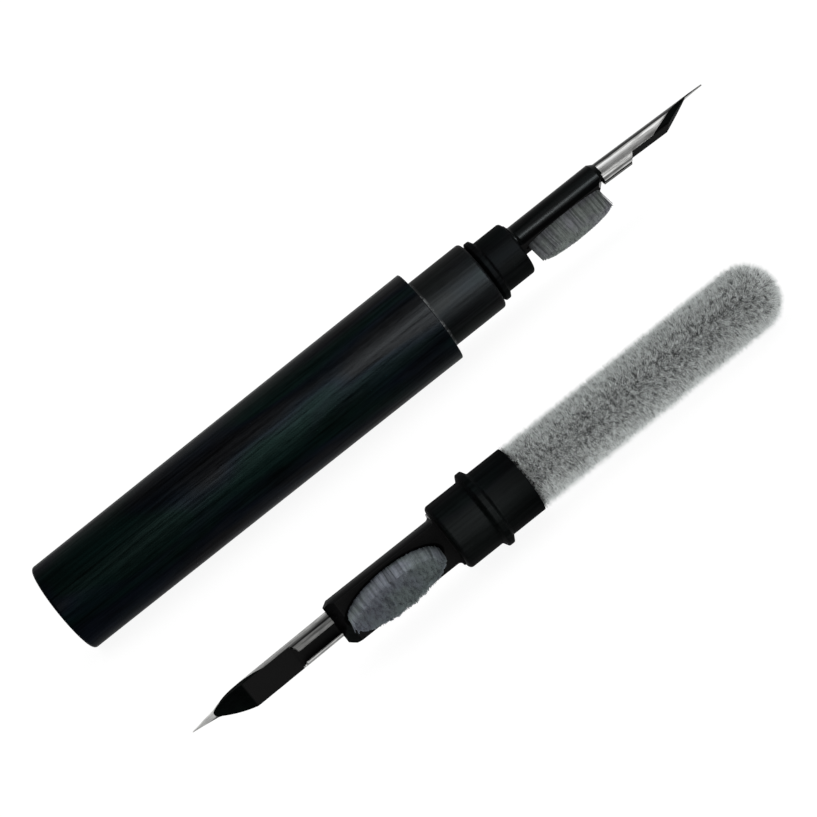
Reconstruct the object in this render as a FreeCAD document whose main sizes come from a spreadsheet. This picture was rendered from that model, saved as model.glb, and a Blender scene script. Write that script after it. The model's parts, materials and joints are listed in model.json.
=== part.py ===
import FreeCAD
import Part
import math
import os

import Sketcher
from FreeCAD import Placement, Rotation, Vector

# A pocket cleaning pen lying on its side, and a second, identical core lying beside it.
# Each core carries a brush and a steel nib on one end and a flocked foam wand on the other.
# The row's frame: +X along the pen from its closed end to its nib, +Z up, z = 0 on the table.
# A core's own frame: +X towards its nib, -Z the way its brush points, origin on its axis at
# the collar's front face.

# Every driving dimension, in millimetres, or in degrees where the name ends in _angle.
SIZES = {
    "barrel_length": 62.0,
    "barrel_radius": 7.0,
    "barrel_end_radius": 6.75,
    "barrel_bore": 4.95,
    "barrel_floor": 1.8,
    "barrel_edge": 0.45,
    "barrel_lip": 0.15,
    "neck_radius": 5.24,
    "neck_bore": 4.08,
    "neck_length": 8.9,
    "neck_insert": 14.0,
    "neck_mouth": 0.5,
    "neck_seam": 0.12,
    "bead_gap": 0.1,
    "collar_radius": 4.03,
    "collar_front": 4.37,
    "collar_rear": 4.25,
    "collar_edge": 0.46,
    "bead_radius": 4.72,
    "bead_width": 1.45,
    "bead_crest": 0.65,
    "bead_blend": 0.18,
    "spigot_radius": 2.2,
    "spigot_length": 4.4,
    "holder_length": 14.7,
    "holder_radius": 2.82,
    "holder_root_radius": 3.4,
    "holder_root_length": 0.2,
    "holder_root_blend": 0.5,
    "holder_nose_length": 0.7,
    "holder_nose_radius": 2.42,
    "holder_flat": 0.97,
    "holder_ramp_length": 1.35,
    "holder_ramp_top": 0.2,
    "field_centre": 7.3,
    "field_length": 12.2,
    "field_width": 4.4,
    "recess_length": 12.8,
    "recess_width": 4.84,
    "recess_depth": 0.35,
    "pad_thickness": 0.25,
    "bristle_tip_height": 4.2,
    "bristle_tip_centre": 7.45,
    "bristle_tip_length": 12.0,
    "bristle_tip_width": 3.9,
    "nib_radius": 1.62,
    "nib_wall": 0.2,
    "nib_rise": 0.78,
    "nib_tilt_angle": 1.9,
    "nib_tang": 3.2,
    "nib_length": 18.45,
    "nib_cheek": 0.5,
    "nib_tab_length": 4.6,
    "nib_tab_slope": 0.6,
    "nib_tab_heel": 1.39,
    "nib_slot": 1.55,
    "nib_cut_start": 8.6,
    "nib_cut_end": 13.4,
    "nib_cut_top": 1.3,
    "nib_shoulder": 9.8,
    "nib_point_start": 15.4,
    "nib_point_width": 0.95,
    "nib_bow_radius": 20.0,
    "feed_length": 15.6,
    "feed_flank_radius": 1.6,
    "feed_sole_start": 5.25,
    "feed_sole": 0.06,
    "feed_slope_start": 11.1,
    "feed_shoulder": 10.2,
    "feed_nose_width": 0.5,
    "feed_bow_radius": 10.5,
    "stem_radius": 1.1,
    "stem_length": 28.0,
    "stem_end_round": 0.66,
    "wand_length": 34.8,
    "foam_root_radius": 3.3,
    "foam_end_radius": 3.55,
    "foam_dome": 3.2,
    "flock_thickness": 0.35,
    "wand_rest_radius": 3.9,
    "wand_rest_distance": 36.0,
    "pen_roll_angle": -30.0,
    "spare_roll_angle": -87.0,
    "spare_yaw_angle": 2.6,
    "spare_distance": 60.5,
    "spare_offset": -5.8,
    "overshoot": 1.0,
}
FAR = 40.0  # longer than any cut has to reach
NEAR = 1e-4  # how closely an edge's place has to agree when it is looked up

doc = FreeCAD.newDocument("cleaning_pen")


def make_sheet():
    """The spreadsheet of driving dimensions."""
    sheet = doc.addObject("Spreadsheet::Sheet", "Sizes")
    for row, (alias, value) in enumerate(SIZES.items(), start=1):
        sheet.set(f"A{row}", alias)
        sheet.set(f"B{row}", str(value))
        sheet.setAlias(f"B{row}", alias)
    doc.recompute()
    return sheet


SHEET = make_sheet()


def size(formula):
    """The value of a formula over the sheet's aliases, such as nib_radius - nib_wall."""
    return float(SHEET.evalExpression(bound(formula)))


def bound(formula):
    """The formula with each alias written as a reference to the sheet."""
    words = formula.replace("(", "( ").replace(")", " )").split()
    return " ".join(f"Sizes.{word}" if word in SIZES else word for word in words)


def new_body(label, placement):
    body = doc.addObject("PartDesign::Body", label)
    body.Label = label
    body.Placement = placement
    return body


def new_sketch(body, name, role, offset=None):
    """An empty sketch on one of the body's own origin planes, found by its role."""
    sketch = body.newObject("Sketcher::SketchObject", f"{body.Label}_{name}")
    plane = next(item for item in body.Origin.OriginFeatures if item.Role == role)
    sketch.AttachmentSupport = [(plane, "")]
    sketch.MapMode = "FlatFace"
    if offset is not None:
        sketch.AttachmentOffset = offset
    return sketch


def pin_point(sketch, line, end, corner):
    """Binds one end of a line to a pair of formulas, measured from the sketch's origin."""
    for direction, formula in zip(("DistanceX", "DistanceY"), corner):
        value = size(formula)
        index = sketch.addConstraint(
            Sketcher.Constraint(direction, -1, 1, line, end, value))
        sketch.setExpression(f"Constraints[{index}]", bound(formula))


def add_outline(sketch, corners, bow=None):
    """A closed outline through the corners, each an (across, up) pair of formulas.

    bow is (side, radius formula): that side, counted from 0, is an arc that swells outwards.
    """
    points = [Vector(size(across), size(up), 0) for across, up in corners]
    sides = []
    for number, (start, end) in enumerate(zip(points, points[1:] + points[:1])):
        if bow is not None and number == bow[0]:
            sides.append(sketch.addGeometry(bowed_arc(start, end, size(bow[1])), False))
        else:
            sides.append(sketch.addGeometry(Part.LineSegment(start, end), False))
    for number, side in enumerate(sides):
        if bow is not None and number == bow[0]:
            continue
        pin_point(sketch, side, 1, corners[number])
        after = (number + 1) % len(sides)
        if bow is None or after != bow[0]:
            sketch.addConstraint(Sketcher.Constraint("Coincident", side, 2, sides[after], 1))
    if bow is not None:
        pin_point(sketch, sides[bow[0] - 1], 2, corners[bow[0]])
        join_arc(sketch, sides, bow, points)


def bowed_arc(start, end, radius):
    """The short arc from start to end that bulges to the left of the chord's direction."""
    chord = end - start
    middle = (start + end) * 0.5
    left = Vector(-chord.y, chord.x, 0).normalize()
    sagitta = radius - math.sqrt(radius ** 2 - (chord.Length / 2) ** 2)
    return Part.Arc(start, middle + left * sagitta, end)


def join_arc(sketch, sides, bow, points):
    """Joins an outline's arc to its neighbours and binds its radius."""
    number, radius = bow
    arc = sides[number]
    before = sides[number - 1]
    after = sides[(number + 1) % len(sides)]
    start_end = arc_ends(sketch, arc, points[number])
    sketch.addConstraint(Sketcher.Constraint("Coincident", before, 2, arc, start_end[0]))
    sketch.addConstraint(Sketcher.Constraint("Coincident", arc, start_end[1], after, 1))
    index = sketch.addConstraint(Sketcher.Constraint("Radius", arc, size(radius)))
    sketch.setExpression(f"Constraints[{index}]", bound(radius))


def arc_ends(sketch, arc, start):
    """The sketch's numbers for an arc's two ends, the one at start first."""
    return (1, 2) if (sketch.getPoint(arc, 1) - start).Length < NEAR else (2, 1)


def add_ellipse(sketch, centre, length, width):
    """An ellipse with its long axis along the sketch's horizontal axis."""
    middle = Vector(size(centre), 0, 0)
    curve = sketch.addGeometry(
        Part.Ellipse(middle, size(length) / 2, size(width) / 2), False)
    sketch.exposeInternalGeometry(curve)
    long_axis, short_axis = curve + 1, curve + 2
    sketch.addConstraint(Sketcher.Constraint("PointOnObject", curve, 3, -1))
    sketch.addConstraint(Sketcher.Constraint("Horizontal", long_axis))
    for kind, formula in (
            (("DistanceX", -1, 1, curve, 3), centre),
            (("Distance", long_axis), length),
            (("Distance", short_axis), width)):
        index = sketch.addConstraint(Sketcher.Constraint(*kind, size(formula)))
        sketch.setExpression(f"Constraints[{index}]", bound(formula))


def revolve(body, name, corners):
    """A solid turned about the body's X axis from half its lengthwise section."""
    sketch = new_sketch(body, f"{name}_section", "XZ_Plane")
    add_outline(sketch, corners)
    turned = body.newObject("PartDesign::Revolution", f"{body.Label}_{name}")
    turned.Profile = sketch
    turned.ReferenceAxis = (sketch, ["H_Axis"])
    turned.Angle = 360
    doc.recompute()
    return turned


def cut(body, name, sketch, depth=None, backwards=False):
    """A pocket: to a depth one way, or right through both ways where no depth is given."""
    before = body.Shape.Volume
    pocket = body.newObject("PartDesign::Pocket", f"{body.Label}_{name}")
    pocket.Profile = sketch
    if depth is None:
        pocket.SideType = "Symmetric"
        pocket.Length = FAR
    else:
        pocket.setExpression("Length", bound(depth))
        pocket.Reversed = backwards
    doc.recompute()
    if not pocket.Shape.Volume < before - NEAR:
        raise RuntimeError(f"{pocket.Label} removed nothing")
    return pocket


def ring_edges(feature, along, radius):
    """The feature's circular edges about X at one place along it and of one radius."""
    found = []
    for number, edge in enumerate(feature.Shape.Edges, start=1):
        curve = edge.Curve
        if isinstance(curve, Part.Circle):
            same_place = abs(curve.Center.x - size(along)) < NEAR
            if same_place and abs(curve.Radius - size(radius)) < NEAR:
                found.append(f"Edge{number}")
    if not found:
        raise RuntimeError(f"no edge of {feature.Label} at {along}, {radius}")
    return found


def round_edges(body, name, feature, edges, radius):
    """A fillet on edges of the body's last feature."""
    fillet = body.newObject("PartDesign::Fillet", f"{body.Label}_{name}")
    fillet.Base = (feature, edges)
    fillet.setExpression("Radius", bound(radius))
    doc.recompute()
    return fillet


def bevel_edges(body, name, feature, edges, width):
    """A chamfer on edges of the body's last feature."""
    chamfer = body.newObject("PartDesign::Chamfer", f"{body.Label}_{name}")
    chamfer.Base = (feature, edges)
    chamfer.setExpression("Size", bound(width))
    doc.recompute()
    return chamfer


def make_barrel_shell(label, placement):
    """The deep cup that the hand holds: closed at x = 0, open at its other end."""
    body = new_body(label, placement)
    shell = revolve(body, "turned", [
        ("0", "0"),
        ("0", "barrel_end_radius"),
        ("barrel_length", "barrel_radius"),
        ("barrel_length", "barrel_bore"),
        ("barrel_floor", "barrel_bore"),
        ("barrel_floor", "0"),
    ])
    shell = round_edges(body, "end_edge", shell,
                        ring_edges(shell, "0", "barrel_end_radius"), "barrel_edge")
    round_edges(body, "lip", shell,
                ring_edges(shell, "barrel_length", "barrel_radius"), "barrel_lip")
    return body


def make_neck_sleeve(label, placement):
    """The liner pressed into the barrel, whose bare end is the seat of a cap."""
    body = new_body(label, placement)
    sleeve = revolve(body, "turned", [
        ("0 - neck_insert", "neck_bore"),
        ("0 - neck_insert", "barrel_bore"),
        ("0", "barrel_bore"),
        ("0", "neck_radius"),
        ("neck_length", "neck_radius"),
        ("neck_length", "neck_bore"),
    ])
    sleeve = round_edges(body, "mouth", sleeve,
                         ring_edges(sleeve, "neck_length", "neck_radius"), "neck_mouth")
    bevel_edges(body, "seam", sleeve, ring_edges(sleeve, "0", "neck_radius"), "neck_seam")
    return body


def make_collar(label, placement):
    """The plug that seats in the neck, with its stop bead and a blind socket at each end."""
    body = new_body(label, placement)
    bead_front = "0 - collar_front"
    bead_rear = "0 - collar_front - bead_width"
    half_flank = "( bead_width - bead_crest ) / 2"
    crest_front = f"0 - collar_front - {half_flank}"
    crest_rear = f"0 - collar_front - bead_width + {half_flank}"
    rear = "0 - collar_front - bead_width - collar_rear"
    collar = revolve(body, "turned", [
        ("0", "spigot_radius"),
        ("0", "collar_radius"),
        (bead_front, "collar_radius"),
        (crest_front, "bead_radius"),
        (crest_rear, "bead_radius"),
        (bead_rear, "collar_radius"),
        (rear, "collar_radius"),
        (rear, "spigot_radius"),
        (f"{rear} + spigot_length", "spigot_radius"),
        (f"{rear} + spigot_length", "0"),
        ("0 - spigot_length", "0"),
        ("0 - spigot_length", "spigot_radius"),
    ])
    flanks = (
        ring_edges(collar, bead_front, "collar_radius")
        + ring_edges(collar, crest_front, "bead_radius")
        + ring_edges(collar, crest_rear, "bead_radius")
        + ring_edges(collar, bead_rear, "collar_radius"))
    collar = round_edges(body, "bead", collar, flanks, "bead_blend")
    round_edges(body, "front_edge", collar,
                ring_edges(collar, "0", "collar_radius"), "collar_edge")
    return body


def make_brush_holder(label, placement):
    """The round rod that carries the brush on a flat and the nib in its end."""
    body = new_body(label, placement)
    nose_start = "holder_length - holder_nose_length"
    root_radius = "holder_root_radius"
    rod = revolve(body, "turned", [
        ("0 - spigot_length", "0"),
        ("0 - spigot_length", "spigot_radius"),
        ("0", "spigot_radius"),
        ("0", root_radius),
        ("holder_root_length", root_radius),
        ("holder_root_length", "holder_radius"),
        (nose_start, "holder_radius"),
        ("holder_length", "holder_nose_radius"),
        ("holder_length", "0"),
    ])
    round_edges(body, "root", rod,
                ring_edges(rod, "holder_root_length", "holder_radius"), "holder_root_blend")
    side = new_sketch(body, "flat_side", "XZ_Plane")
    add_outline(side, [
        ("0", "0 - holder_flat"),
        ("holder_length - holder_ramp_length", "0 - holder_flat"),
        ("holder_length", "holder_ramp_top"),
        ("holder_length + overshoot", "holder_ramp_top"),
        ("holder_length + overshoot", "0 - holder_radius - overshoot"),
        ("0", "0 - holder_radius - overshoot"),
    ])
    cut(body, "flat", side)
    floor = Placement(Vector(0, 0, -size("holder_flat")), Rotation())
    recess = new_sketch(body, "recess_oval", "XY_Plane", floor)
    add_ellipse(recess, "field_centre", "recess_length", "recess_width")
    cut(body, "recess", recess, "recess_depth", backwards=True)
    tilt = Rotation(Vector(1, 0, 0), size("nib_tilt_angle"))
    pivot = Vector(0, size("nib_rise"), size("holder_length"))
    lead = tilt.multVec(Vector(0, 0, size("overshoot")))
    seat = new_sketch(body, "nib_seat_section", "YZ_Plane", Placement(pivot + lead, tilt))
    add_seat_section(seat)
    cut(body, "nib_seat", seat, "nib_tang + overshoot")
    return body


def add_seat_section(sketch):
    """The nib's round back above the level of its cheeks: an arc closed by a chord."""
    radius = size("nib_radius")
    drop = size("nib_cheek")
    half = math.sqrt(radius ** 2 - drop ** 2)
    left, right = Vector(-half, -drop, 0), Vector(half, -drop, 0)
    arc = sketch.addGeometry(Part.Arc(left, Vector(0, radius, 0), right), False)
    chord = sketch.addGeometry(Part.LineSegment(left, right), False)
    ends = arc_ends(sketch, arc, left)
    sketch.addConstraint(Sketcher.Constraint("Coincident", arc, ends[0], chord, 1))
    sketch.addConstraint(Sketcher.Constraint("Coincident", arc, ends[1], chord, 2))
    sketch.addConstraint(Sketcher.Constraint("Coincident", arc, 3, -1, 1))
    sketch.addConstraint(Sketcher.Constraint("Horizontal", chord))
    for kind, formula in (
            (("Radius", arc), "nib_radius"),
            (("DistanceY", -1, 1, chord, 1), "0 - nib_cheek")):
        index = sketch.addConstraint(Sketcher.Constraint(*kind, size(formula)))
        sketch.setExpression(f"Constraints[{index}]", bound(formula))


def make_bristle_pad(label, placement):
    """The bonded pad at the bottom of the oval recess, which holds the bristles' roots."""
    body = new_body(label, placement)
    ceiling = Placement(
        Vector(0, 0, -size("holder_flat - recess_depth")), Rotation())
    oval = new_sketch(body, "oval", "XY_Plane", ceiling)
    add_ellipse(oval, "field_centre", "recess_length", "recess_width")
    pad = body.newObject("PartDesign::Pad", f"{label}_pad")
    pad.Profile = oval
    pad.setExpression("Length", bound("pad_thickness"))
    pad.Reversed = True
    doc.recompute()
    return body


def make_bristles(label, placement):
    """The brush's outer form, from its oval root to its narrower, rounded tips."""
    body = new_body(label, placement)
    root_level = size("holder_flat - recess_depth + pad_thickness")
    root = new_sketch(body, "root", "XY_Plane",
                      Placement(Vector(0, 0, -root_level), Rotation()))
    add_ellipse(root, "field_centre", "field_length", "field_width")
    tips = new_sketch(body, "tips", "XY_Plane",
                      Placement(Vector(0, 0, -size("bristle_tip_height")), Rotation()))
    add_ellipse(tips, "bristle_tip_centre", "bristle_tip_length", "bristle_tip_width")
    loft = body.newObject("PartDesign::AdditiveLoft", f"{label}_loft")
    loft.Profile = root
    loft.Sections = [tips]
    loft.Ruled = True
    doc.recompute()
    return body


def make_nib(label, placement):
    """The nib, rolled from steel sheet: a slit tube cut back to a fine point.

    Its frame has the origin where its axis leaves the holder, and +Z at its crown.
    """
    body = new_body(label, placement)
    inner = "nib_radius - nib_wall"
    revolve(body, "tube", [
        ("0 - nib_tang", inner),
        ("0 - nib_tang", "nib_radius"),
        ("nib_length", "nib_radius"),
        ("nib_length", inner),
    ])
    cheek = "0 - nib_cheek"
    tab_end = "nib_tab_length + nib_tab_slope"
    below = "0 - nib_radius - overshoot"
    rear = "0 - nib_tang - overshoot"
    front = "nib_length + overshoot"
    side = new_sketch(body, "cheek_side", "XZ_Plane")
    add_outline(side, [
        (rear, cheek),
        ("0", cheek),
        ("0", below),
        ("nib_tab_length", below),
        ("nib_tab_length", "0 - nib_tab_heel"),
        (tab_end, cheek),
        ("nib_cut_start", cheek),
        ("nib_cut_end", "nib_cut_top"),
        (front, "nib_cut_top"),
        (front, f"{below} - overshoot"),
        (rear, f"{below} - overshoot"),
    ])
    cut(body, "cheeks", side)
    slot = new_sketch(body, "slot_plan", "XY_Plane")
    add_outline(slot, [
        (rear, "0 - nib_slot / 2"),
        (rear, "nib_slot / 2"),
        (tab_end, "nib_slot / 2"),
        (tab_end, "0 - nib_slot / 2"),
    ])
    cut(body, "slot", slot, "nib_radius + overshoot")
    for side_name, sign in (("left", ""), ("right", "0 - ")):
        trim_beside(body, f"{side_name}_of_point", "nib_bow_radius", [
            ("nib_shoulder", f"{sign}nib_radius"),
            ("nib_point_start", f"{sign}nib_point_width / 2"),
            ("nib_length", "0"),
            (front, "0"),
            (front, f"{sign}nib_radius * 2"),
            ("nib_shoulder", f"{sign}nib_radius * 2"),
        ])
    return body


def trim_beside(body, name, bow_radius, corners):
    """Cuts away what lies outside a bowed edge, which runs from the first corner to the second."""
    plan = new_sketch(body, f"{name}_plan", "XY_Plane")
    if size(corners[0][1]) > 0:
        add_outline(plan, corners, (0, bow_radius))
    else:
        add_outline(plan, [corners[0]] + corners[:0:-1], (len(corners) - 1, bow_radius))
    cut(body, name, plan)


def make_nib_feed(label, placement):
    """The black feed: it fills the nib, and below and ahead of the cheeks it swells to its width."""
    body = new_body(label, placement)
    core = "nib_radius - nib_wall"
    cheek = "0 - nib_cheek"
    sole = "0 - nib_cheek - feed_sole"
    above = "feed_flank_radius + overshoot"
    below = "0 - feed_flank_radius - overshoot"
    rear = "0 - nib_tang - overshoot"
    front = "feed_length + overshoot"
    revolve(body, "flanks", [
        ("feed_sole_start", "0"),
        ("feed_sole_start", "feed_flank_radius"),
        ("feed_length", "feed_flank_radius"),
        ("feed_length", "0"),
    ])
    shelf = new_sketch(body, "shelf_side", "XZ_Plane")
    add_outline(shelf, [
        (rear, cheek),
        ("nib_cut_start", cheek),
        ("nib_cut_end", "nib_cut_top"),
        (front, "nib_cut_top"),
        (front, above),
        (rear, above),
    ])
    cut(body, "shelf", shelf)
    revolve(body, "core", [
        ("0 - nib_tang", "0"),
        ("0 - nib_tang", core),
        ("feed_length", core),
        ("feed_length", "0"),
    ])
    side = new_sketch(body, "underside", "XZ_Plane")
    add_outline(side, [
        (rear, cheek),
        ("feed_sole_start", cheek),
        ("feed_sole_start", sole),
        ("feed_slope_start", sole),
        ("feed_length", core),
        (front, core),
        (front, below),
        (rear, below),
    ])
    cut(body, "flat", side)
    for side_name, sign in (("left", ""), ("right", "0 - ")):
        trim_beside(body, f"{side_name}_of_nose", "feed_bow_radius", [
            ("feed_shoulder", f"{sign}feed_flank_radius"),
            ("feed_length", f"{sign}feed_nose_width / 2"),
            (front, f"{sign}feed_nose_width / 2"),
            (front, f"{sign}feed_flank_radius * 2"),
            ("feed_shoulder", f"{sign}feed_flank_radius * 2"),
        ])
    return body


def make_wand_stem(label, placement):
    """The plastic stem inside the wand, with the spigot that seats in the collar.

    The wand's three pieces share a frame: origin at the collar's rear face, +X along them.
    """
    body = new_body(label, placement)
    stem = revolve(body, "turned", [
        ("0 - spigot_length", "0"),
        ("0 - spigot_length", "spigot_radius"),
        ("0", "spigot_radius"),
        ("0", "stem_radius"),
        ("stem_length", "stem_radius"),
        ("stem_length", "0"),
    ])
    round_edges(body, "end_edge", stem,
                ring_edges(stem, "stem_length", "stem_radius"), "stem_end_round")
    return body


def make_wand_foam(label, placement):
    """The foam core of the wand, a little thicker towards its domed end."""
    body = new_body(label, placement)
    length = "wand_length - flock_thickness"
    foam = revolve(body, "turned", [
        ("0", "stem_radius"),
        ("0", "foam_root_radius"),
        (length, "foam_end_radius"),
        (length, "0"),
        ("stem_length", "0"),
        ("stem_length", "stem_radius"),
    ])
    round_edges(body, "dome", foam, ring_edges(foam, length, "foam_end_radius"), "foam_dome")
    return body


def make_wand_flock(label, placement):
    """The flocked skin over the foam."""
    body = new_body(label, placement)
    inner_length = "wand_length - flock_thickness"
    skin = revolve(body, "turned", [
        ("0", "foam_root_radius"),
        ("0", "foam_root_radius + flock_thickness"),
        ("wand_length", "foam_end_radius + flock_thickness"),
        ("wand_length", "0"),
        (inner_length, "0"),
        (inner_length, "foam_end_radius"),
    ])
    skin = round_edges(
        body, "outer_dome", skin,
        ring_edges(skin, "wand_length", "foam_end_radius + flock_thickness"),
        "foam_dome + flock_thickness")
    round_edges(body, "inner_dome", skin,
                ring_edges(skin, inner_length, "foam_end_radius"), "foam_dome")
    return body


def turn(axis, degrees):
    return Rotation(Vector(*axis), degrees)


def layout():
    """Where the pen and the two cores stand in the row's frame, whose origin is mid-box."""
    front = size("barrel_length + neck_length + bead_gap + bead_width + collar_front")
    total = front + size("holder_length + nib_length")
    spare_distance = size("spare_distance")
    to_brush_end = size(
        "bead_width / 2 + collar_front + bristle_tip_centre + bristle_tip_length / 2")
    brush_reach = size("bristle_tip_height") + to_brush_end * math.sin(
        math.radians(size("spare_yaw_angle")))
    pen_y = (spare_distance + brush_reach - size("barrel_radius")) / 2
    pen = Vector(-total / 2, pen_y, size("barrel_radius"))
    roll = turn((1, 0, 0), size("pen_roll_angle"))
    fitted = Placement(pen + Vector(front, 0, 0), roll)
    drop = size("bead_radius - wand_rest_radius") / size("wand_rest_distance")
    pitch = math.degrees(math.asin(drop))
    lie = turn((0, 0, 1), size("spare_yaw_angle")).multiply(turn((0, 1, 0), pitch))
    lie = lie.multiply(turn((1, 0, 0), size("spare_roll_angle")))
    lie = lie.multiply(turn((0, 0, 1), 180))
    bead_z = size("bead_radius") * math.cos(math.radians(pitch))
    bead = Vector(size("spare_offset"), pen_y - spare_distance, bead_z)
    to_front = lie.multVec(Vector(size("collar_front + bead_width / 2"), 0, 0))
    return pen, {"fitted": fitted, "spare": Placement(bead + to_front, lie)}


def build():
    """Every sub-part as its own body."""
    pen, cores = layout()
    bodies = [
        make_barrel_shell("barrel_shell", Placement(pen, Rotation())),
        make_neck_sleeve("neck_sleeve", Placement(
            pen + Vector(size("barrel_length"), 0, 0), Rotation())),
    ]
    nib_seat = Placement(
        Vector(size("holder_length"), 0, size("nib_rise")),
        turn((0, 1, 0), size("nib_tilt_angle")))
    collar_length = size("collar_front + bead_width + collar_rear")
    wand_root = Placement(Vector(-collar_length, 0, 0), turn((0, 0, 1), 180))
    for name, core in cores.items():
        nib_place = core.multiply(nib_seat)
        wand_place = core.multiply(wand_root)
        bodies += [
            make_collar(f"{name}_collar", core),
            make_brush_holder(f"{name}_brush_holder", core),
            make_bristle_pad(f"{name}_bristle_pad", core),
            make_bristles(f"{name}_bristles", core),
            make_nib(f"{name}_nib", nib_place),
            make_nib_feed(f"{name}_nib_feed", nib_place),
            make_wand_stem(f"{name}_wand_stem", wand_place),
            make_wand_foam(f"{name}_wand_foam", wand_place),
            make_wand_flock(f"{name}_wand_flock", wand_place),
        ]
    return bodies


def check(bodies):
    """Stops before anything is written if any object or shape has failed."""
    doc.recompute()
    for item in doc.Objects:
        if "Invalid" in item.State or "Error" in item.State:
            raise RuntimeError(f"{item.Label} failed: {item.State}")
    for body in bodies:
        shape = body.Shape
        if shape.isNull() or not shape.isValid() or len(shape.Solids) != 1:
            raise RuntimeError(f"{body.Label} isn't one valid solid: {len(shape.Solids)}")


def write(bodies):
    os.makedirs("parts", exist_ok=True)
    for body in bodies:
        body.Shape.exportStep(f"parts/{body.Label}.step")


BODIES = build()
check(BODIES)
write(BODIES)
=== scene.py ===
import json
import math

import bpy
import numpy as np
from mathutils import Matrix, Vector, noise


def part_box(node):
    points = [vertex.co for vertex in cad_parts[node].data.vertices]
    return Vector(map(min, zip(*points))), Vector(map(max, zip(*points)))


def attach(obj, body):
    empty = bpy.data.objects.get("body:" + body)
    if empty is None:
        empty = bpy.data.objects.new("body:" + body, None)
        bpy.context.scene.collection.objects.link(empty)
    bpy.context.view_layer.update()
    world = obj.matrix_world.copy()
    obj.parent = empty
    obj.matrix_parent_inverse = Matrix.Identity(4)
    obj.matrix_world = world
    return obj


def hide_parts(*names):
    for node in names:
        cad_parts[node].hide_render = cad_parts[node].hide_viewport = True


# The looks of the cleaning pen: a black barrel, and two double-ended cores with a brush and a
# steel nib at one end and a flocked wand at the other. The sizes of the core, brush, nib and
# wand, and the coordinates inside materials, are in millimetres. MM turns them into metres,
# which everything else is in.

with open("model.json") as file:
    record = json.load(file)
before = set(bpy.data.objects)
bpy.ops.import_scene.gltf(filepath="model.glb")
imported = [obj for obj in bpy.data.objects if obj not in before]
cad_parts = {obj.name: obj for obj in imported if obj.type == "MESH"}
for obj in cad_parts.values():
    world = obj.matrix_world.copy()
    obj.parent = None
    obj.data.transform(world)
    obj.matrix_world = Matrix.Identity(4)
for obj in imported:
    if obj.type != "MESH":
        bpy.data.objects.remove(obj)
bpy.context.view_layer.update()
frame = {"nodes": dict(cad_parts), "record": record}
NODES = frame["nodes"]
MOUNTS = {mount["name"]: mount for mount in frame["record"]["mounts"]}
MM = 0.001

# A core's own frame, as in the CAD: +X towards its nib, -Z the way its brush points, origin on
# its axis at the collar's front face.
COLLAR_LENGTH = 10.07
PLUG_TO_FRONT = 7.945
ROLLS = {"fitted": math.radians(-30), "spare": math.radians(-87)}

# The nib's place in a core's frame. In its own frame, with +X to its point and +Z at its crown,
# the level of the feed's underside and the slot between the nib's tabs.
NIB_START, NIB_RISE, NIB_TILT = 14.7, 0.78, math.radians(1.9)
FEED_UNDERSIDE = -0.5
SLOT_SIDE, SLOT_TOP = 0.775, -1.0

# The flat the brush stands on, and the brush, in a core's frame.
HOLDER_FLAT = 0.97
FIELD_CENTRE = 7.3
FIELD_LENGTH, FIELD_WIDTH = 12.2, 4.4
TIP_CENTRE, TIP_LENGTH, TIP_WIDTH = 7.45, 11.8, 3.8
BRISTLE_ROOT, BRISTLE_TIP = 0.8, 4.42
BRISTLE_PITCH = math.sqrt(math.pi / 4 * FIELD_LENGTH * FIELD_WIDTH / 3600)
BRISTLE_STATIONS = (0, 0.33, 0.67, 0.985, 1)
BRISTLE_RADII = (0.052, 0.05, 0.046, 0.036, 0.03)
BRISTLE_ALONG = (0, 0.3, 0.6, 0.8, 1)
NYLON_DARK = (0.004, 0.005, 0.005)
# The two cores' nylons are the same; the spare's bluer tint is painted light, the cast of the
# light on it.
NYLON_PALE_AS_LIT = {"fitted": (0.4, 0.415, 0.41), "spare": (0.39, 0.43, 0.45)}

# The wand's skin, along +X from the collar's rear face, and how far ragged black teeth reach up
# it from the collar.
SKIN_LENGTH = 34.05
SKIN_ROOT_RADIUS, SKIN_END_RADIUS = 3.32, 3.42
SKIN_DOME = 3.3
SKIN_STATIONS, SKIN_AROUND = 190, 150
SKIN_LUMP = 0.05
DARK_TEETH_REACH = 0.55

# Its fibres: seed of the draws, count, thickness, spread, shortest and longest length, mean tone
# and how much it varies. The fitted wand's stay inside the neck's bore.
FIBRES = {
    "pile": (31, 36000, 0.03, 0.4, (0.34, 0.66), (0.42, 0.6)),
    # Near-white fibres: partly pale flock, partly painted rim light on the wand's edges.
    "haze_and_rim_light": (47, 46000, 0.022, 0.12, (0.5, 1.12), (1.6, 0.4))}
FIBRE_LIMITS = {"fitted": 4.065, "spare": 4.3}
FLOCK_DARK, FLOCK_LIGHT = (0.01, 0.011, 0.011), (0.97, 1.0, 0.99)


def core_matrix(name):
    """The matrix from a core's own frame to the scene's."""
    if name == "fitted":
        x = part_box("fitted_collar")[1].x
        _, y, z = MOUNTS["cap_seat"]["pos_m"]
        return Matrix.Translation((x, y, z)) @ Matrix.Rotation(ROLLS[name], 4, "X")
    away = Vector(MOUNTS["spare_plug"]["axis"]).normalized()
    origin = Vector(MOUNTS["spare_plug"]["pos_m"]) - away * PLUG_TO_FRONT * MM
    turned = Matrix.Rotation(math.atan2(away.y, away.x), 4, "Z")
    turned @= Matrix.Rotation(math.asin(-away.z), 4, "Y")
    turned @= Matrix.Rotation(ROLLS[name], 4, "X") @ Matrix.Rotation(math.pi, 4, "Z")
    return Matrix.Translation(origin) @ turned


def nib_matrix(core):
    """The nib's frame: origin where its axis leaves the holder."""
    seat = Matrix.Translation((NIB_START * MM, 0, NIB_RISE * MM))
    return core @ seat @ Matrix.Rotation(NIB_TILT, 4, "Y")


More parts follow.
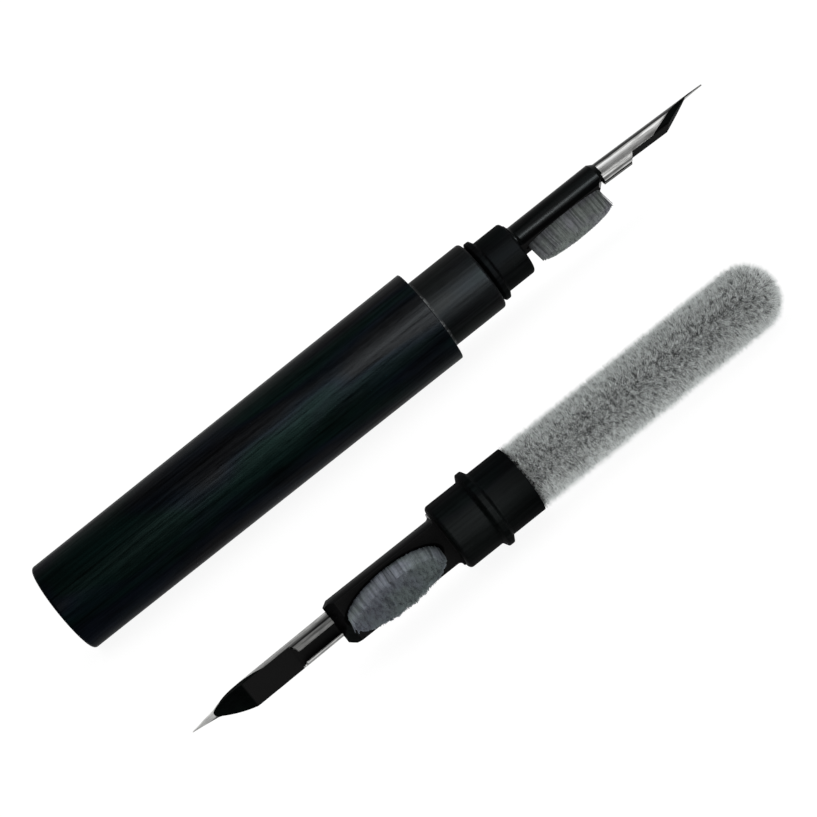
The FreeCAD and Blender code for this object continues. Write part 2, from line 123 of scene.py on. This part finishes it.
def wand_matrix(core):
    """The wand's frame: origin on the collar's rear face, +X towards the wand's end."""
    back = Matrix.Translation((-COLLAR_LENGTH * MM, 0, 0)) @ Matrix.Rotation(math.pi, 4, "Z")
    return core @ back


# ---------------------------------------------------------------- materials

class Surface:
    """A material with a Principled shader, and short calls that add and link its nodes."""

    def __init__(self, name, place=Matrix.Identity(4)):
        self.material = bpy.data.materials.new(name)
        self.material.use_nodes = True
        self.tree = self.material.node_tree
        self.shader = self.tree.nodes["Principled BSDF"]
        self.place = self.placed(place)

    def node(self, kind, **settings):
        made = self.tree.nodes.new(f"ShaderNode{kind}")
        for name, value in settings.items():
            setattr(made, name, value)
        return made

    def feed(self, node, **inputs):
        """Sets or links a node's inputs, named as on the node with _ for a space, or i0, i1."""
        for name, value in inputs.items():
            numbered = name[0] == "i" and name[1:].isdigit()
            socket = node.inputs[int(name[1:]) if numbered else name.replace("_", " ")]
            if isinstance(value, bpy.types.NodeSocket):
                self.tree.links.new(value, socket)
            else:
                socket.default_value = value
        return node

    def placed(self, place):
        """Coordinates in a piece's own frame, in millimetres."""
        inverse = place.inverted()
        mapping = self.node("Mapping")
        source = self.node("TexCoord")
        self.feed(mapping, Vector=source.outputs["Object"],
                  Location=inverse.translation / MM, Scale=(1 / MM,) * 3,
                  Rotation=inverse.to_euler("XYZ"))
        return mapping.outputs["Vector"]

    def stretched(self, x, y, z):
        """The piece's own coordinates with each axis scaled."""
        scale = self.node("VectorMath", operation="MULTIPLY")
        self.feed(scale, i0=self.place, i1=(x, y, z))
        return scale.outputs[0]

    def noise(self, vector, scale, detail=2.0, roughness=0.5, distortion=0.0):
        made = self.node("TexNoise")
        self.feed(made, Vector=vector, Scale=scale, Detail=detail, Roughness=roughness,
                  Distortion=distortion)
        return made.outputs["Fac"]

    def ramp(self, value, *stops):
        """A colour ramp through (position, colour or grey) stops."""
        made = self.node("ValToRGB")
        points = made.color_ramp.elements
        while len(points) < len(stops):
            points.new(0.5)
        for point, (position, colour) in zip(points, stops):
            point.position = position
            grey = isinstance(colour, (int, float))
            point.color = (colour, colour, colour, 1) if grey else (*colour, 1)
        self.feed(made, Fac=value)
        return made.outputs["Color"]

    def remap(self, value, low, high, out_low, out_high):
        made = self.node("MapRange")
        self.feed(made, Value=value, From_Min=low, From_Max=high, To_Min=out_low,
                  To_Max=out_high)
        return made.outputs[0]

    def math(self, operation, a, b=0.0):
        made = self.node("Math", operation=operation)
        self.feed(made, i0=a, i1=b)
        return made.outputs[0]

    def mix(self, factor, a, b, blend="MIX"):
        made = self.node("Mix", data_type="RGBA", blend_type=blend)
        self.feed(made, i0=factor, i6=a, i7=b)
        return made.outputs[2]

    def bump(self, height, strength, distance_mm, under=None):
        made = self.node("Bump")
        self.feed(made, Height=height, Strength=strength, Distance=distance_mm * MM)
        if under is not None:
            self.feed(made, Normal=under)
        return made.outputs[0]

    def attribute(self, name):
        return self.node("Attribute", attribute_name=name).outputs["Fac"]

    def position(self):
        """The X, Y and Z of the piece's own coordinates."""
        split = self.node("SeparateXYZ")
        self.feed(split, i0=self.place)
        return tuple(split.outputs)


# Levels of the cloud pattern at which each of a plastic's three hues and shine tints is full.
CLOUD_STEPS = (0.4, 0.5, 0.6)
SHINE_TINTS = ((0.4, 1, 0.85), (0.55, 0.8, 1), (0.84, 0.9, 0.94))
# The colour of the painted glints along a seam.
SEAM_GLINT_PAINT = (0.26, 0.27, 0.27, 1)


def black_plastic(name, place, hues, roughness, ior, cloudiness, seam=None, matt_below=None,
                  fade=None):
    """Moulded black plastic with draw lines, a fine grain and cloudy patches of tone.

    hues are three near-black colours, and cloudiness how far the shine's tint wanders. seam is
    a place along X where a thin line of pale painted glints runs round the piece. Below the
    height matt_below the surface is matt. fade paints shade into the shine, a painted fall-off
    of
    the highlight: the place along X of its shaded end, the place where the shine is full, and
    the share of the shine left at the shaded end.
    """
    s = Surface(name, place)
    lines = s.noise(s.stretched(0.025, 1, 1), 2.6, 3, 0.65)
    fine = s.noise(s.stretched(0.06, 1, 1), 11, 2, 0.6)
    patches = s.noise(s.stretched(0.3, 1, 1), 0.33, 3, 0.55, 0.4)
    clouds = s.noise(s.stretched(0.22, 0.7, 0.7), 0.21, 2, 0.5, 0.5)
    grain = s.noise(s.place, 16, 2, 0.7)
    colour = s.ramp(clouds, *zip(CLOUD_STEPS, hues))
    tint = s.ramp(clouds, *zip(CLOUD_STEPS, SHINE_TINTS))
    tone = s.math("MULTIPLY", s.remap(patches, 0.33, 0.67, 0.35, 1.5),
                  s.remap(lines, 0.33, 0.67, 0.6, 1.4))
    tone = s.math("MULTIPLY", tone, s.remap(grain, 0.3, 0.7, 0.6, 1.4))
    colour = s.mix(1.0, colour, s.ramp(s.math("MULTIPLY", tone, 0.5), (0, 0), (1, 1)),
                   "MULTIPLY")
    streaks = 0.08 + 0.32 * cloudiness
    shine = s.remap(s.mix(0.35, lines, fine), 0.36, 0.64, 0.5 - streaks, 0.5 + streaks)
    along, _, height = s.position()
    if seam is not None:
        # Painted glints: pale marks along the seam.
        colour = s.mix(painted_seam_glints(s, along, seam), colour, SEAM_GLINT_PAINT)
    if matt_below is not None:
        above = s.remap(height, matt_below + 0.02, matt_below + 0.12, 0, 1)
        matt = s.ramp(grain, (0.3, 0.009), (0.7, 0.016))
        colour = s.mix(above, matt, colour)
        shine = s.math("MULTIPLY", shine, above)
    # Painted shade: the shine falls off towards one end, standing in for the highlight's
    # fall-off.
    if fade is not None:
        shaded_end, full, least = fade
        shine = s.math("MULTIPLY", shine, s.remap(along, shaded_end, full, least, 1))
    rough = s.math("ADD", s.remap(lines, 0.3, 0.7, roughness - 0.05, roughness + 0.05),
                   s.remap(fine, 0.3, 0.7, -0.03, 0.03))
    ridges = s.bump(fine, 0.2, 0.008, s.bump(lines, 0.35, 0.02))
    s.feed(s.shader, Base_Color=colour, Roughness=rough, IOR=ior, Specular_IOR_Level=shine,
           Specular_Tint=s.mix(cloudiness, (0.9, 0.98, 1, 1), tint),
           Normal=s.bump(grain, 0.2, 0.01, ridges))
    return s.material


def painted_seam_glints(s, along, seam):
    """Painted glints along a seam: 1 on its pale marks, less between them, 0 from half a
    millimetre on.
    """
    near = s.remap(along, seam + 0.2, seam + 0.55, 1, 0)
    glints = s.noise(s.stretched(0.8, 1, 1), 0.9, 3, 0.7)
    return s.math("MULTIPLY", near, s.remap(glints, 0.5, 0.64, 0.15, 1))


# Painted reflections round each nib: a tone at each angle, in degrees from its left side over
# its crown, for the bright and dark bands it reflects. The two nibs differ on their undersides
# only, as each core's view sees other reflections there.
NIB_SHARED_REFLECTIONS = (
    (0, 0.26), (20, 0.4), (45, 0.6), (60, 0.35), (75, 0.6), (98, 0.4), (106, 0.08),
    (116, 0.01), (134, 0.004), (144, 0.02), (151, 0.3), (160, 0.95), (167, 1.0),
    (174, 0.75), (182, 1.0), (190, 0.7), (202, 0.9), (212, 0.6), (222, 0.14), (230, 0.12),
    (238, 0.6), (262, 0.9))
NIB_PAINTED_REFLECTIONS = {
    "fitted": NIB_SHARED_REFLECTIONS + ((280, 0.3), (296, 0.22), (312, 0.3), (340, 0.2)),
    "spare": NIB_SHARED_REFLECTIONS + (
        (285, 0.13), (297, 0.2), (304, 0.5), (312, 0.24), (323, 0.2), (329, 0.012),
        (335, 0.012), (343, 0.1), (352, 0.22))}
SHEARED_STEEL = (0.4, 0.4, 0.39, 1)


def nib_steel(name, place, reflection_tones):
    """Rolled sheet steel: bright and dark bands of painted reflection, lines along it, sheared
    slot faces.
    """
    s = Surface(name, place)
    broad = s.noise(s.stretched(0.02, 1, 1), 2.2, 2, 0.5)
    lines = s.noise(s.stretched(0.04, 1, 1), 6, 3, 0.65)
    stain = s.noise(s.stretched(0.3, 1, 1), 1.6, 3, 0.65)
    _, aside, height = s.position()
    angle = s.math("ARCTAN2", height, aside)
    turns = s.math("FRACT", s.math("ADD", s.math("DIVIDE", angle, 2 * math.pi), 1.0))
    turns = s.math("ADD", turns, s.remap(broad, 0.3, 0.7, -0.012, 0.012))
    # Painted reflection: a tone by angle round the nib's axis.
    colour = s.ramp(turns, *((degrees / 360, (tone, tone, tone * 0.98))
                             for degrees, tone in reflection_tones))
    wear = s.math("MULTIPLY", s.remap(lines, 0.33, 0.67, 0.55, 1.4),
                  s.remap(stain, 0.35, 0.65, 0.75, 1.25))
    wear = s.ramp(s.math("MULTIPLY", wear, 0.5), (0, 0), (1, 1))
    colour = s.mix(1.0, s.mix(1.0, colour, wear, "MULTIPLY"), (2, 2, 2, 1), "MULTIPLY")
    sheared = s.math("MULTIPLY", s.remap(height, SLOT_TOP - 0.1, SLOT_TOP, 1, 0), s.remap(
        s.math("ABSOLUTE", aside), SLOT_SIDE + 0.01, SLOT_SIDE + 0.02, 1, 0))
    s.feed(s.shader, Base_Color=s.mix(sheared, colour, SHEARED_STEEL),
           Metallic=s.remap(sheared, 0, 1, 1, 0), Roughness=s.remap(lines, 0.3, 0.7, 0.42, 0.3),
           Normal=s.bump(broad, 0.5, 0.05, s.bump(lines, 0.4, 0.012)))
    return s.material


def filament(name, place, dark, light):
    """Nylon filaments: a tone for each, paler at the tips, with a slight sheen."""
    s = Surface(name, place)
    tone = s.attribute("tone")
    along = s.attribute("along")
    mottle = s.noise(s.place, 2.4, 2, 0.6)
    cloud = s.noise(s.place, 0.32, 2, 0.5)
    ends = s.remap(along, 0.8, 1, 0, 0.8)
    value = s.math("MULTIPLY", s.math("ADD", s.remap(along, 0.1, 0.8, 0.68, 0.92), ends),
                   s.remap(mottle, 0.3, 0.7, 0.75, 1.2))
    value = s.math("MULTIPLY", value, tone)
    tint = s.ramp(cloud, (0.4, (light[0], light[1] * 1.06, light[2] * 1.02)),
                  (0.6, (light[0] * 1.02, light[1], light[2] * 1.1)))
    s.feed(s.shader, Base_Color=s.mix(value, (*dark, 1), tint), Roughness=0.5, IOR=1.35)
    return s.material


def flock(name, place, dark, light):
    """Flock and the skin it stands on: salt and pepper grains, tips painted paler as rim light,
    ragged black teeth next to the collar.
    """
    s = Surface(name, place)
    tone = s.attribute("tone")
    along = s.attribute("along")
    grains = s.noise(s.stretched(1.2, 0.85, 0.85), 1.8, 3, 0.75)
    value = s.math("MULTIPLY", tone, s.remap(grains, 0.41, 0.59, 0.35, 1.65))
    # Paler towards the tips: painted rim light, where the wand's edges show mostly tips.
    value = s.math("MULTIPLY", value, s.remap(along, 0, 1, 0.92, 1.24))
    from_collar, _, _ = s.position()
    # Black in ragged teeth next to the collar, up to about half a millimetre from it.
    dark_teeth = s.remap(s.noise(s.stretched(0.3, 1, 1), 1.6, 3, 0.8), 0.42, 0.62, 0, DARK_TEETH_REACH)
    clear = s.remap(s.math("SUBTRACT", from_collar, dark_teeth), 0, 0.06, 0, 1)
    value = s.math("MULTIPLY", value, clear)
    s.feed(s.shader, Base_Color=s.mix(value, (*dark, 1), (*light, 1)), Roughness=0.7,
           IOR=1.3, Sheen_Weight=1.0, Sheen_Roughness=0.4)
    return s.material


def shaded_root_pad(name, place):
    """The black bonded bed that the filaments stand in, made darker and nearly shineless as
    painted shade in the recess round them.
    """
    s = Surface(name, place)
    weave = s.noise(s.place, 9, 2, 0.6)
    s.feed(s.shader, Base_Color=s.ramp(weave, (0.3, 0.001), (0.7, 0.004)), Roughness=0.8,
           IOR=1.04, Normal=s.bump(weave, 0.8, 0.05))
    return s.material


def floor_material():
    """A pale floor that gives off nearly all of its own white."""
    s = Surface("studio_floor")
    cloud = s.noise(s.stretched(0.01, 0.01, 0.01), 0.5, 2, 0.5)
    s.feed(s.shader, Base_Color=s.ramp(cloud, (0.3, 0.13), (0.7, 0.15)), Roughness=0.9,
           IOR=1.1, Emission_Color=(1, 1, 1, 1), Emission_Strength=0.92)
    return s.material


# ---------------------------------------------------------------- geometry

def make_mesh(name, points, faces, place, **values):
    """A mesh object whose points are given in millimetres in a piece's own frame.

    faces is a list of lists of point numbers, and each value is an attribute with one number
    for each point.
    """
    rotation = np.array(place.to_3x3())
    world = points * MM @ rotation.T + np.array(place.translation)
    mesh = bpy.data.meshes.new(name)
    mesh.from_pydata(world.tolist(), [], faces)
    for key, numbers in values.items():
        mesh.attributes.new(key, "FLOAT", "POINT").data.foreach_set(
            "value", np.asarray(numbers, np.float32))
    made = bpy.data.objects.new(name, mesh)
    bpy.context.scene.collection.objects.link(made)
    return made


def paint(item, material):
    """Gives an object one material."""
    if item.material_slots:
        for each in item.material_slots:
            each.material = material
    else:
        item.data.materials.append(material)


def unit(vectors):
    return vectors / np.linalg.norm(vectors, axis=1, keepdims=True)


def across(directions):
    """Two unit vectors square to each direction and to each other."""
    helper = np.where(np.abs(directions[:, :1]) > 0.8, [[0.0, 1.0, 0.0]], [[1.0, 0.0, 0.0]])
    first = unit(np.cross(directions, helper))
    return first, np.cross(directions, first)


def rods(paths, radii, sides):
    """The points and faces of thin closed rods along paths, whose shape is (rods, stations, 3).

    radii has one radius for each station.
    """
    count, stations, _ = paths.shape
    heading = unit(paths[:, -1] - paths[:, 0])
    first, second = across(heading)
    angles = np.arange(sides) * 2 * math.pi / sides
    ring = (np.cos(angles)[None, :, None] * first[:, None]
            + np.sin(angles)[None, :, None] * second[:, None])
    points = paths[:, :, None] + ring[:, None] * np.array(radii)[None, :, None, None]
    start = np.arange(count)[:, None] * stations * sides
    faces = []
    for station in range(stations - 1):
        for side in range(sides):
            a = start + station * sides + side
            b = start + station * sides + (side + 1) % sides
            faces.append(np.hstack([a, b, b + sides, a + sides]))
    top = start + (stations - 1) * sides
    faces.append(np.hstack([top + k for k in range(sides)]))
    faces.append(np.hstack([start + k for k in reversed(range(sides))]))
    return points.reshape(-1, 3), np.concatenate(faces).tolist()


def smooth_noise(points, scale, seed):
    """Signed noise at each point, at one size of grain in millimetres."""
    shift = Vector((seed * 17.3, seed * 5.9, seed * 31.1))
    return np.array([noise.noise(Vector(p) / scale + shift) for p in points])


def brush_roots(draw):
    """Where the bristles stand in their oval field, and each one's share of the way out."""
    row_pitch = BRISTLE_PITCH * 0.866
    rows, columns = int(FIELD_WIDTH / row_pitch) + 2, int(FIELD_LENGTH / BRISTLE_PITCH) + 2
    grid = [((c + 0.5 * (r % 2)) * BRISTLE_PITCH, r * row_pitch)
            for r in range(rows) for c in range(columns)]
    roots = np.array(grid) - [columns * BRISTLE_PITCH / 2, rows * row_pitch / 2]
    roots = roots + draw.normal(0, BRISTLE_PITCH * 0.16, roots.shape)
    share = np.hypot(roots[:, 0] / (FIELD_LENGTH / 2), roots[:, 1] / (FIELD_WIDTH / 2))
    inside = share < 0.985
    return roots[inside], share[inside]


def make_bristles(name, place, material):
    """The brush: an oval field of fine filaments whose tips form a low dome."""
    draw = np.random.default_rng(7)
    roots, share = brush_roots(draw)
    count = len(roots)
    flat = np.column_stack([roots, np.zeros(count)])
    lean = np.column_stack([smooth_noise(flat, 0.9, 1), smooth_noise(flat, 0.7, 2)])
    tips = roots * [TIP_LENGTH / FIELD_LENGTH, TIP_WIDTH / FIELD_WIDTH] + lean * 0.16
    tips = tips + [TIP_CENTRE - FIELD_CENTRE, 0] + draw.normal(0, 0.035, tips.shape)
    uneven = np.abs(draw.normal(0, 0.14, count))
    height = BRISTLE_TIP - 0.45 * share ** 2 - 0.3 * share ** 8 - uneven
    # A fifth of the outermost bristles splay at the nib's end, and very few elsewhere.
    stray = (share > 0.9) & (draw.random(count) < np.where(roots[:, 0] > 5, 0.2, 0.02))
    tips[stray] *= 1 + draw.uniform(0.02, 0.06, (stray.sum(), 1))
    stations = np.array(BRISTLE_STATIONS)
    bend = stations ** 1.5
    path = np.zeros((count, len(stations), 3))
    path[..., 0] = FIELD_CENTRE + roots[:, :1] + (tips - roots)[:, :1] * bend
    path[..., 1] = roots[:, 1:] + (tips - roots)[:, 1:] * bend
    path[..., 2] = -(BRISTLE_ROOT + (height[:, None] - BRISTLE_ROOT) * stations)
    sides = 4
    points, faces = rods(path, BRISTLE_RADII, sides)
    tone = 0.6 + 0.28 * draw.random(count) + 0.6 * smooth_noise(flat * [1, 0.5, 1], 0.3, 3)
    brush = make_mesh(name, points, faces, place,
                      tone=np.repeat(tone, len(stations) * sides),
                      along=np.tile(np.repeat(BRISTLE_ALONG, sides), count))
    paint(brush, material)
    return brush


def skin_radius(x):
    """The wand's radius at a distance from the collar: a slight cone with a domed end."""
    straight = SKIN_ROOT_RADIUS + (SKIN_END_RADIUS - SKIN_ROOT_RADIUS) * x / SKIN_LENGTH
    into = np.clip((x - (SKIN_LENGTH - SKIN_DOME)) / SKIN_DOME, 0, 1)
    core = SKIN_END_RADIUS - SKIN_DOME
    return np.where(into > 0, core + (straight - core) * np.sqrt(1 - into ** 2), straight)


def skin_profile():
    """Places along the wand's outline, over its side and its domed end."""
    straight = SKIN_LENGTH - SKIN_DOME
    x = np.concatenate([
        np.linspace(0, straight, SKIN_STATIONS, endpoint=False),
        straight + SKIN_DOME * np.sin(np.linspace(0, math.pi / 2, 24))])
    return x, skin_radius(x)


def make_wand_skin(name, place, material):
    """The flock's lumpy surface under its fibres, closed at both ends."""
    x, radius = skin_profile()
    angle = np.tile(np.arange(SKIN_AROUND) * 2 * math.pi / SKIN_AROUND, len(x))
    away = np.column_stack([np.zeros(len(angle)), np.cos(angle), np.sin(angle)])
    base = away * np.repeat(radius, SKIN_AROUND)[:, None]
    base[:, 0] = np.repeat(x, SKIN_AROUND)
    lumps = smooth_noise(base, 0.4, 4) + smooth_noise(base, 0.17, 5)
    points = base + away * SKIN_LUMP * lumps[:, None]
    points = np.vstack([points, [0, 0, 0], [x[-1] + 0.02, 0, 0]])
    index = np.arange(len(base)).reshape(len(x), SKIN_AROUND)
    after = np.roll(index, -1, axis=1)
    faces = np.stack([index[:-1], after[:-1], after[1:], index[1:]], -1).reshape(-1, 4).tolist()
    first, last = len(base), len(base) + 1
    for k in range(SKIN_AROUND):
        n = (k + 1) % SKIN_AROUND
        faces.append([first, index[0, n], index[0, k]])
        faces.append([last, index[-1, k], index[-1, n]])
    tone = 0.28 + 0.15 * np.append(lumps, [0, 0])
    skin = make_mesh(name, points, faces, place, tone=tone, along=np.full(len(points), 0.15))
    skin.data.polygons.foreach_set("use_smooth", np.ones(len(faces), bool))
    paint(skin, material)
    return skin


def make_wand_fibres(name, place, material, limit, recipe):
    """Short flock fibres over the wand's side and dome, each a closed three-sided spike.

    recipe is one of FIBRES, where spread is how far they lean from square. No fibre reaches
    further than limit from the axis.
    """
    seed, count, thick, spread, reach, (mean, vary) = recipe
    draw = np.random.default_rng(seed)
    x, radius = skin_profile()
    length = np.hypot(np.diff(x), np.diff(radius))
    area = np.concatenate([[0], np.cumsum(length * (radius[1:] + radius[:-1]))])
    spot = draw.random(count) * area[-1]
    root_x = np.interp(spot, area, x)
    root_r = np.interp(spot, area, radius)
    turn = draw.random(count) * 2 * math.pi
    steepness = np.diff(radius) / np.maximum(np.diff(x), 1e-6)
    slope = np.interp(root_x, (x[1:] + x[:-1]) / 2, steepness)
    normal = unit(np.column_stack([-slope, np.cos(turn), np.sin(turn)]))
    root = np.column_stack([root_x, root_r * np.cos(turn), root_r * np.sin(turn)])
    root = root - normal * 2 * SKIN_LUMP
    lean = np.column_stack([smooth_noise(root, 0.4, axis) for axis in (11, 12, 13)])
    heading = unit(normal + lean * 3 * spread + draw.normal(0, spread, (count, 3)))
    tip = root + heading * draw.uniform(*reach, (count, 1))
    first, second = across(heading)
    corner = np.arange(3) * 2 * math.pi / 3
    base = (root[:, None] + thick * (np.cos(corner)[None, :, None] * first[:, None]
                                     + np.sin(corner)[None, :, None] * second[:, None]))
    points = np.concatenate([base, tip[:, None]], axis=1).reshape(-1, 3)
    widest = np.maximum(np.hypot(points[:, 1], points[:, 2]) / limit, 1)
    points[:, 1:] /= widest[:, None]
    start = np.arange(count)[:, None] * 4
    faces = np.concatenate([start + [0, 1, 3], start + [1, 2, 3], start + [2, 0, 3],
                            start + [0, 2, 1]])
    uneven = 1.2 * smooth_noise(root, 0.16, 21) + draw.normal(0, 0.3, count)
    tone = np.clip(mean + vary * uneven, 0.03, 2.0)
    fibres = make_mesh(name, points, faces.tolist(), place, tone=np.repeat(tone, 4),
                       along=np.tile([0.0, 0.0, 0.0, 1.0], count))
    paint(fibres, material)
    keep_off_floor(fibres)
    return fibres


def keep_off_floor(item):
    """Fibres that would reach through the table lie flat on it."""
    mesh = item.data
    points = np.zeros(len(mesh.vertices) * 3)
    mesh.vertices.foreach_get("co", points)
    points = points.reshape(-1, 3)
    points[:, 2] = np.maximum(points[:, 2], 0.02 * MM)
    mesh.vertices.foreach_set("co", points.ravel())


# ---------------------------------------------------------------- the object

DEEP_TEAL = (0.0006, 0.0052, 0.0047)
DEEP_NAVY = (0.0012, 0.0027, 0.0062)
DEEP_PLUM = (0.0024, 0.0028, 0.0044)
SOFT_GREEN = (0.0022, 0.0034, 0.0030)
SOFT_BLUE = (0.0022, 0.0026, 0.0034)
SOFT_PLUM = (0.0034, 0.0028, 0.0032)

closed_end, mouth = (corner.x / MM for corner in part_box("barrel_shell"))
# The barrel's shine is painted down towards its closed end: painted shade.
paint(NODES["barrel_shell"], black_plastic(
    "barrel_black", Matrix.Identity(4), (DEEP_TEAL, DEEP_NAVY, DEEP_PLUM), 0.4, 1.08, 0.75,
    fade=(closed_end, closed_end + 28, 0.55)))
# The neck's pale marks at the barrel's mouth are painted glints.
paint(NODES["neck_sleeve"], black_plastic(
    "neck_black", Matrix.Identity(4), (SOFT_GREEN, SOFT_PLUM, SOFT_GREEN), 0.5, 1.1, 0.4,
    seam=mouth))

for core in ("fitted", "spare"):
    place = core_matrix(core)
    body = f"{core}_core"
    nib_place, wand = nib_matrix(place), wand_matrix(place)
    # The core's shine is painted down towards the collar's rear face: painted shade.
    moulded = black_plastic(f"{core}_core_black", place, (SOFT_BLUE, SOFT_PLUM, SOFT_GREEN),
                            0.62, 1.06, 0.4, fade=(-COLLAR_LENGTH, -4, 0.45))
    holder = black_plastic(f"{core}_holder_black", place, (SOFT_PLUM, SOFT_GREEN, SOFT_PLUM),
                           0.26, 1.08, 0.1, matt_below=-HOLDER_FLAT)
    feed = black_plastic(f"{core}_feed_black", nib_place, (SOFT_GREEN, SOFT_PLUM, SOFT_GREEN),
                         0.6, 1.05, 0.1, matt_below=FEED_UNDERSIDE)
    paint(NODES[f"{core}_collar"], moulded)
    paint(NODES[f"{core}_brush_holder"], holder)
    paint(NODES[f"{core}_wand_stem"], moulded)
    paint(NODES[f"{core}_nib_feed"], feed)
    # Each nib's painted reflection follows its own core's view.
    paint(NODES[f"{core}_nib"], nib_steel(f"{core}_nib_steel", nib_place, NIB_PAINTED_REFLECTIONS[core]))
    # The pad's near-black is partly its own colour and partly painted shade in the recess.
    paint(NODES[f"{core}_bristle_pad"], shaded_root_pad(f"{core}_shaded_root_pad", place))

    nylon = filament(f"{core}_bristle_grey", place, NYLON_DARK, NYLON_PALE_AS_LIT[core])
    brush = make_bristles(f"{core}_brush_filaments", place, nylon)
    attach(brush, body)
    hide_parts(f"{core}_bristles")

    grey = flock(f"{core}_flock_grey", wand, FLOCK_DARK, FLOCK_LIGHT)
    skin = make_wand_skin(f"{core}_flocked_skin", wand, grey)
    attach(skin, body)
    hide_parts(f"{core}_wand_flock", f"{core}_wand_foam")
    for kind, recipe in FIBRES.items():
        fibres = make_wand_fibres(f"{core}_flock_{kind}", wand, grey, FIBRE_LIMITS[core], recipe)
        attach(fibres, body)


# ---------------------------------------------------------------- studio

CAMERA_AZIMUTH, CAMERA_ELEVATION, CAMERA_ROLL = 2.695, 18.115, 37.774
CAMERA_DISTANCE = 0.26984
CAMERA_AIM = (-0.003, 0.02562, 0)
CAMERA_LENS, CAMERA_SENSOR = 89.86, 36

# The dome, in front of the pen and behind it: how far along Y, and the strength there.
DOME_FRONT, DOME_BACK = (-0.95, 0.12), (0.35, 1.15)

# Softboxes: centre, size, power, and the ends of the names of the pieces each one lights.
ROUND, SLIM = ("_shell", "_sleeve", "_collar"), ("_holder", "_feed", "_stem")
STRIPS = {
    "high_strip": ((0.125, -0.36, 0.25), (0.18, 0.08), 9.5, ROUND),
    "slim_strip": ((0.11, -0.25, 0.36), (0.2, 0.05), 4.5, SLIM),
    "low_strip": ((0.105, -0.2, 0.02), (0.15, 0.07), 4.6, ROUND),
    "top_panel": ((0.13, -0.1, 0.36), (0.2, 0.25), 0.6, ROUND + SLIM)}


def add_floor():
    points = [(-9, -9, 0), (9, -9, 0), (9, 9, 0), (-9, 9, 0)]
    mesh = bpy.data.meshes.new("floor")
    mesh.from_pydata(points, [], [(0, 1, 2, 3)])
    floor = bpy.data.objects.new("floor", mesh)
    bpy.context.scene.collection.objects.link(floor)
    paint(floor, floor_material())


def view_axes(azimuth, elevation, roll):
    """Right, up and forward of a camera, from angles in degrees."""
    a, e, r = (math.radians(value) for value in (azimuth, elevation, roll))
    forward = Vector((math.sin(a) * math.cos(e), math.cos(a) * math.cos(e), -math.sin(e)))
    right = Vector((math.cos(a), -math.sin(a), 0))
    up = right.cross(forward)
    return (right * math.cos(r) - up * math.sin(r),
            right * math.sin(r) + up * math.cos(r), forward)


def add_camera():
    right, up, forward = view_axes(CAMERA_AZIMUTH, CAMERA_ELEVATION, CAMERA_ROLL)
    data = bpy.data.cameras.new("camera")
    data.sensor_width = CAMERA_SENSOR
    data.lens = CAMERA_LENS
    data.clip_start, data.clip_end = 0.01, 50
    camera = bpy.data.objects.new("camera", data)
    where = Vector(CAMERA_AIM) - forward * CAMERA_DISTANCE
    camera.matrix_world = Matrix((
        (right.x, up.x, -forward.x, where.x), (right.y, up.y, -forward.y, where.y),
        (right.z, up.z, -forward.z, where.z), (0, 0, 0, 1)))
    bpy.context.scene.collection.objects.link(camera)
    bpy.context.scene.camera = camera


def add_strip(name, centre, size, power, endings):
    """An oblong softbox facing the pen, seen only as a shine on the pieces it lights."""
    data = bpy.data.lights.new(name, "AREA")
    data.shape = "RECTANGLE"
    data.size, data.size_y = size
    data.energy = power
    light = bpy.data.objects.new(name, data)
    light.location = centre
    _, y, z = MOUNTS["cap_seat"]["pos_m"]
    heading = Vector((0, y, z)) - Vector(centre)
    light.rotation_mode = "QUATERNION"
    light.rotation_quaternion = heading.to_track_quat("-Z", "Y")
    light.visible_diffuse = False
    bpy.context.scene.collection.objects.link(light)
    receivers = bpy.data.collections.new(name)
    for node_name, node in NODES.items():
        if node_name.endswith(endings):
            receivers.objects.link(node)
    light.light_linking.receiver_collection = receivers


def add_dome():
    """A soft dome of light, dim on the camera's side and bright behind the pen."""
    world = bpy.data.worlds.new("studio")
    world.use_nodes = True
    nodes, links = world.node_tree.nodes, world.node_tree.links
    background = nodes["Background"]
    background.inputs["Color"].default_value = (1, 1, 1, 1)
    place = nodes.new("ShaderNodeTexCoord")
    split = nodes.new("ShaderNodeSeparateXYZ")
    depth = nodes.new("ShaderNodeMapRange")
    depth.interpolation_type = "SMOOTHSTEP"
    for end, (reach, strength) in (("Min", DOME_FRONT), ("Max", DOME_BACK)):
        depth.inputs[f"From {end}"].default_value = reach
        depth.inputs[f"To {end}"].default_value = strength
    links.new(place.outputs["Generated"], split.inputs[0])
    links.new(split.outputs["Y"], depth.inputs["Value"])
    links.new(depth.outputs[0], background.inputs["Strength"])
    bpy.context.scene.world = world


add_floor()
add_camera()
add_dome()
for strip, (centre, size, power, endings) in STRIPS.items():
    add_strip(strip, centre, size, power, endings)
bpy.context.scene.view_settings.view_transform = "Standard"
